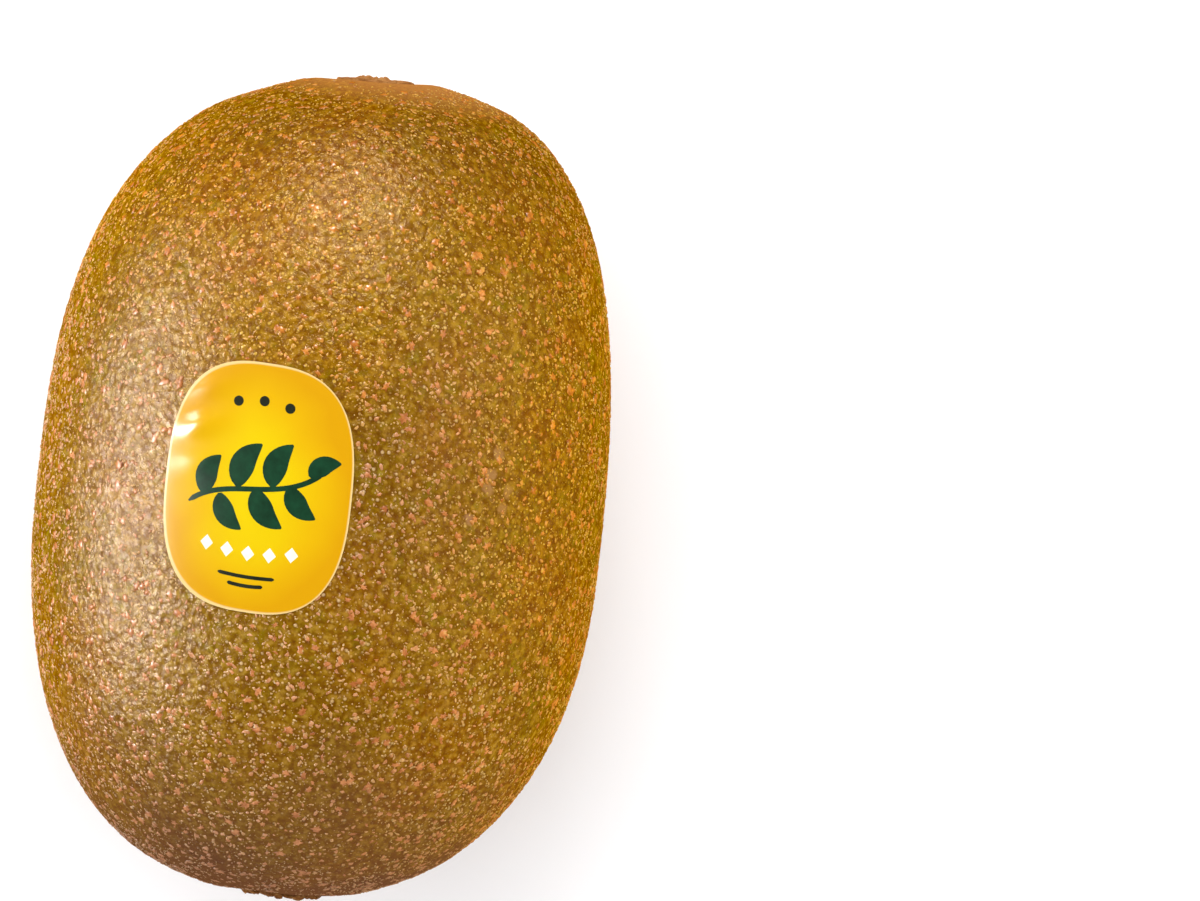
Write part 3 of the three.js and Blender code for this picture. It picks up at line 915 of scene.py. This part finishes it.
def joined(parts):
    """The points and faces of several closed meshes as those of one."""
    clouds, loops, count = [], [], 0
    for points, faces in parts:
        clouds.append(points)
        loops.append(faces + count)
        count += len(points)
    return np.concatenate(clouds), np.concatenate(loops)


def build_ink(name, shapes, material):
    points, faces = joined(ink_shape(spine, half_widths) for spine, half_widths in shapes)
    make_piece(name, points, faces, material, smooth_shading=False)


def build_label():
    points, faces = patch_solid(
        lambda across, along, height: label_point(across, along, np.full(across.shape, height)),
        label_outline, 0, LABEL_PAPER, 30, 120,
    )
    make_piece("fruit_label", points, faces, label_material(), "label", sharp_edges=True)
    build_ink("label_sprig", green_print(), ink_material("ink_green", "0B321C", "124228"))
    build_ink("label_diamonds", white_print(), ink_material("ink_white", "F6F0D2", "FFFCE8"))
    build_ink("label_marks", dark_print(), ink_material("ink_dark", "181E0F", "262C1A"))


def end_place(end, across, up):
    """Where a place beside the centre of an end's scar lies on the skin."""
    x = end["centre"][0] + across * -end["side"]
    z = (end["centre"][1] + up) / THICKNESS_SHARE
    radius = np.hypot(x, z)
    along = end["length"] * np.maximum(0, 1 - (radius / WIDE_RADIUS) ** end["power"]) ** (1 / end["power"])
    return end["side"] * along, radius, np.arctan2(z, x)


def end_point(end, across, up, height):
    """A point a little over the skin beside the centre of an end's scar."""
    place = lambda a, u: skin(*end_place(end, a, u))
    outward = unit(np.cross(
        place(across + END_NUDGE, up) - place(across - END_NUDGE, up),
        place(across, up + END_NUDGE) - place(across, up - END_NUDGE),
    ))
    return place(across, up) + outward * np.asarray(height)[..., None]


def scar_outline(turn):
    """The outline of the five dried sepals, as long as the solids' draws make them."""
    draw = seeded(21)
    shortest = SEPALS["shortest"]
    lengths = np.array([
        SEPALS["reach"] * (shortest + (1 - shortest) * draw()) for _ in range(SEPALS["count"])
    ])
    place = (turn / TURN * SEPALS["count"]) % SEPALS["count"]
    sepal = np.floor(place).astype(int) % SEPALS["count"]
    aside = np.abs(place - np.floor(place) - 0.5) * 2
    lobe = np.maximum(0, 1 - (aside / SEPALS["width"]) ** 1.6)
    return SEPALS["hub"] + lengths[sepal] * lobe


def scar_height(across, up):
    """How high the scar stands: flat dried sepals, round a hollow stub of stalk."""
    reach = np.hypot(across, up)
    turn = np.arctan2(up, across)
    stub = STALK["height"] * plateau(reach, STALK["radius"], STALK["edge"])
    hollow = STALK["hollow"] * plateau(reach, STALK["hollow_radius"], STALK["edge"])
    ridged = RIDGES["height"] * np.cos(RIDGES["count"] * turn) * np.minimum(1, reach / STALK["radius"])
    place = np.stack([across, up, np.zeros_like(across)], -1)
    rough = grain(place, SCAR_GRAIN, 61)
    return PLUG_GAP + SEPALS["thickness"] - SCAR_LOWER + stub - hollow + ridged + rough


def scar_material():
    """Dull corky brown, paler in spots."""
    material, tree, shader = principled("scar_cork", Roughness=0.85, Specular_IOR_Level=0.02)
    uneven = noise(tree, 1400, 4, 0.7, 13.0)
    colour = ramp(tree, uneven, [(0.3, "7A4A20"), (0.5, "9E6834"), (0.7, "B8864C")])
    tree.links.new(colour, shader.inputs["Base Color"])
    bump(tree, shader, noise(tree, 3500, 3, 0.6, 14.0), 0.00012, 0.8)
    return material


def build_scar():
    def place(across, up, level):
        height = np.full(across.shape, PLUG_LIES) if level == "under" else scar_height(across, up)
        return end_point(STEM_END, across, up, height)

    points, faces = patch_solid(place, scar_outline, "under", "over", 26, 150)
    make_piece("dried_sepals", points, faces, scar_material(), "stem_scar")


def tube(root, direction, bend, length, width):
    """Points and faces of a tapered stalk that bends as it rises."""
    sides, steps = STUB["sides"], STUB["steps"]
    side = unit(np.cross(direction, [0.3, 0.2, 1]))
    other = np.cross(direction, side)
    share = np.linspace(0, 1, steps + 1)[:, None, None]
    angle = (np.arange(sides) / sides * TURN)[None, :, None]
    girth = width / 2 * (1 - STYLE_TAPER * share) * (1 + 0.12 * np.cos(3 * angle + 9 * share))
    centre = root + direction * length * share + bend * length * share ** 2
    cloud = centre + girth * (side * np.cos(angle) + other * np.sin(angle))
    tip = cloud[-1].mean(0) + direction * width * 0.05
    points = np.concatenate([cloud.reshape(-1, 3), cloud[0].mean(0)[None], tip[None]])
    a, b, c, d = between_rings(steps + 1, sides)
    first, second = around(sides)
    base, peak = len(points) - 2, len(points) - 1
    faces = np.concatenate([
        np.stack([a, b, d], -1),
        np.stack([a, d, c], -1),
        np.stack([np.full(sides, base), second, first], -1),
        np.stack([np.full(sides, peak), steps * sides + first, steps * sides + second], -1),
    ])
    return points, faces


def style_disc():
    """The ragged disc at the blossom end that the styles stand on, with a torn wall round it."""
    def place(across, up, level):
        if level == "under":
            return end_point(BLOSSOM_END, across, up, np.full(across.shape, PLUG_LIES))
        reach = np.hypot(across, up)
        crown = DISC_CROWN["height"] * plateau(reach, DISC_CROWN["radius"], DISC_CROWN["edge"])
        spot = np.stack([across, up, np.zeros_like(across)], -1)
        torn = 0.6 + 0.4 * waves(spot, 1.1, 64)
        wall = DISC_WALL["height"] * bell(reach - DISC_WALL["radius"], DISC_WALL["width"]) * torn
        over = PLUG_GAP + STYLE_DISC["thickness"] + crown + wall + 0.07 * waves(spot, 0.7, 63)
        return end_point(BLOSSOM_END, across, up, over)

    def ragged(turn):
        waved = np.cos(7 * turn) + 0.6 * np.cos(12 * turn + 1)
        return STYLE_DISC["radius"] * (1 + STYLE_DISC["ragged"] * waved)

    return patch_solid(place, ragged, "under", "over", 26, 160)


def style_stubs():
    """The bent stubs of the styles in rings about the middle, drawn as the solids draw them."""
    stubs = []
    draw = seeded(5)
    side = BLOSSOM_END["side"]
    outwards = np.array([0, side, 0], float)
    for reach, count in zip(STYLES["rings"], STYLES["per_ring"]):
        for index in range(count):
            turn = (index + 0.7 * draw()) / count * TURN
            across, up = reach * math.cos(turn), reach * math.sin(turn)
            away = np.array([-across * side, 0, up])
            away = away / max(np.linalg.norm(away), 1e-9)
            root = end_point(BLOSSOM_END, np.array([across]), np.array([up]), np.zeros(1))[0]
            root = root + outwards * (PLUG_GAP + STYLES["root"])
            leaning = STYLE_LEAN["least"] + STYLE_LEAN["per_millimetre"] * reach
            leaning = leaning + STYLE_LEAN["uneven"] * draw()
            direction = unit(outwards + away * leaning)
            bend = away * (0.5 * draw() - 0.2)
            bend = bend - 0.15 * draw() * outwards
            length = STUB["length_share"] * STYLES["length"] * (0.55 + 0.45 * draw())
            stubs.append(tube(root, direction, bend, length, STUB["width_share"] * STYLES["width"]))
    return stubs


def styles_material():
    """Dry brown, darker at the outermost tips."""
    material, tree, shader = principled("styles_dry", Roughness=0.85, Specular_IOR_Level=0.02)
    uneven = noise(tree, 1600, 4, 0.7, 15.0)
    colour = ramp(tree, uneven, [(0.32, "40220A"), (0.5, "784A24"), (0.68, "A87A44")])
    colour = blend(tree, remap(tree, frame_axis(tree, "Y"), -0.0347, -0.034, 0, 0.85), colour, "2E1808")
    tree.links.new(colour, shader.inputs["Base Color"])
    bump(tree, shader, noise(tree, 4000, 3, 0.6, 16.0), 0.0001, 0.8)
    return material


def build_styles():
    points, faces = joined([style_disc(), *style_stubs()])
    make_piece("dried_styles", points, faces, styles_material(), "style_remnant")


def build_floor():
    """A plain pale table top, a hair below the fruit."""
    mesh = bpy.data.meshes.new("floor")
    corners = [
        (x * FLOOR_HALF_WIDTH, y * FLOOR_HALF_WIDTH, -FLOOR_BELOW)
        for x, y in ((-1, -1), (1, -1), (1, 1), (-1, 1))
    ]
    mesh.from_pydata(corners, [], [(0, 1, 2, 3)])
    floor = add_object("floor", mesh)
    material, tree, shader = principled("floor_pale", Roughness=0.8)
    colour = ramp(tree, noise(tree, 3, 2, 0.5, 20.0), [(0.3, "FBFBFD"), (0.7, "FDFDFF")])
    tree.links.new(colour, shader.inputs["Base Color"])
    mesh.materials.append(material)
    floor.visible_glossy = False


def build_camera():
    """A long lens over the fruit, turned aside so that the fruit lies where the photograph has it."""
    focal_px = PX_PER_MM * CAMERA_DISTANCE
    aside = math.atan((PHOTO_WIDTH / 2 - FRUIT_MIDDLE_PX[0]) / focal_px)
    raised = math.atan((FRUIT_MIDDLE_PX[1] - PHOTO_HEIGHT / 2) / focal_px)
    camera = add_object("camera", bpy.data.cameras.new("camera"))
    tilted = Matrix.Rotation(-CAMERA_TILT, 4, "X")
    location = (Vector(FRUIT_MIDDLE) + tilted @ Vector((0, 0, CAMERA_DISTANCE))) * MM
    rolled = tilted @ Matrix.Rotation(CAMERA_ROLL, 4, "Z")
    aimed = rolled @ Matrix.Rotation(-aside, 4, "Y") @ Matrix.Rotation(raised, 4, "X")
    camera.matrix_world = Matrix.Translation(location) @ aimed
    camera.data.sensor_width = SENSOR
    camera.data.lens = focal_px / PHOTO_WIDTH * SENSOR
    camera.data.clip_start = NEAR_CLIP
    camera.data.clip_end = FAR_CLIP
    bpy.context.scene.camera = camera


# Two kinds of lights: the soft ones light the surfaces evenly, the others only show in their gloss.
LIGHTS = [
    dict(name="soft_above", at=(-160, 480, 560), size=(700, 700), power=2.4, glossy=False),
    dict(name="soft_left", at=(-450, 120, 260), size=(300, 400), power=0.8, glossy=False),
    dict(name="soft_right", at=(450, -60, 240), size=(300, 400), power=0.8, glossy=False),
    dict(name="gloss_left", at=(-475, -85, 142), size=(165, 190), power=18, glossy=True),
    dict(name="gloss_glint", at=(-470, 140, 130), size=(110, 110), power=2.8, glossy=True),
    dict(name="gloss_top", at=(-40, 392, 305), size=(130, 100), power=16.5, glossy=True),
    dict(name="gloss_right", at=(414, 105, 260), size=(150, 180), power=1.6, glossy=True),
]
WORLD_STRENGTH = 0.86


def build_lights():
    middle = Vector(FRUIT_MIDDLE) * MM
    for light in LIGHTS:
        data = bpy.data.lights.new(light["name"], "AREA")
        data.shape = "RECTANGLE"
        data.size, data.size_y = (length * MM for length in light["size"])
        data.energy = light["power"]
        lamp = add_object(light["name"], data)
        lamp.location = Vector(light["at"]) * MM
        lamp.visible_glossy = light["glossy"]
        lamp.visible_diffuse = not light["glossy"]
        lamp.rotation_mode = "QUATERNION"
        lamp.rotation_quaternion = (lamp.location - middle).to_track_quat("Z", "Y")
    world = bpy.data.worlds.new("studio")
    world.use_nodes = True
    background = world.node_tree.nodes["Background"]
    background.inputs["Color"].default_value = srgb("FFFFFF")
    background.inputs["Strength"].default_value = WORLD_STRENGTH
    bpy.context.scene.world = world
    world.cycles_visibility.glossy = False
    bpy.context.scene.view_settings.view_transform = "Standard"


build_camera()
build_lights()
build_floor()
build_fruit()
build_label()
build_scar()
build_styles()

bpy.context.view_layer.update()
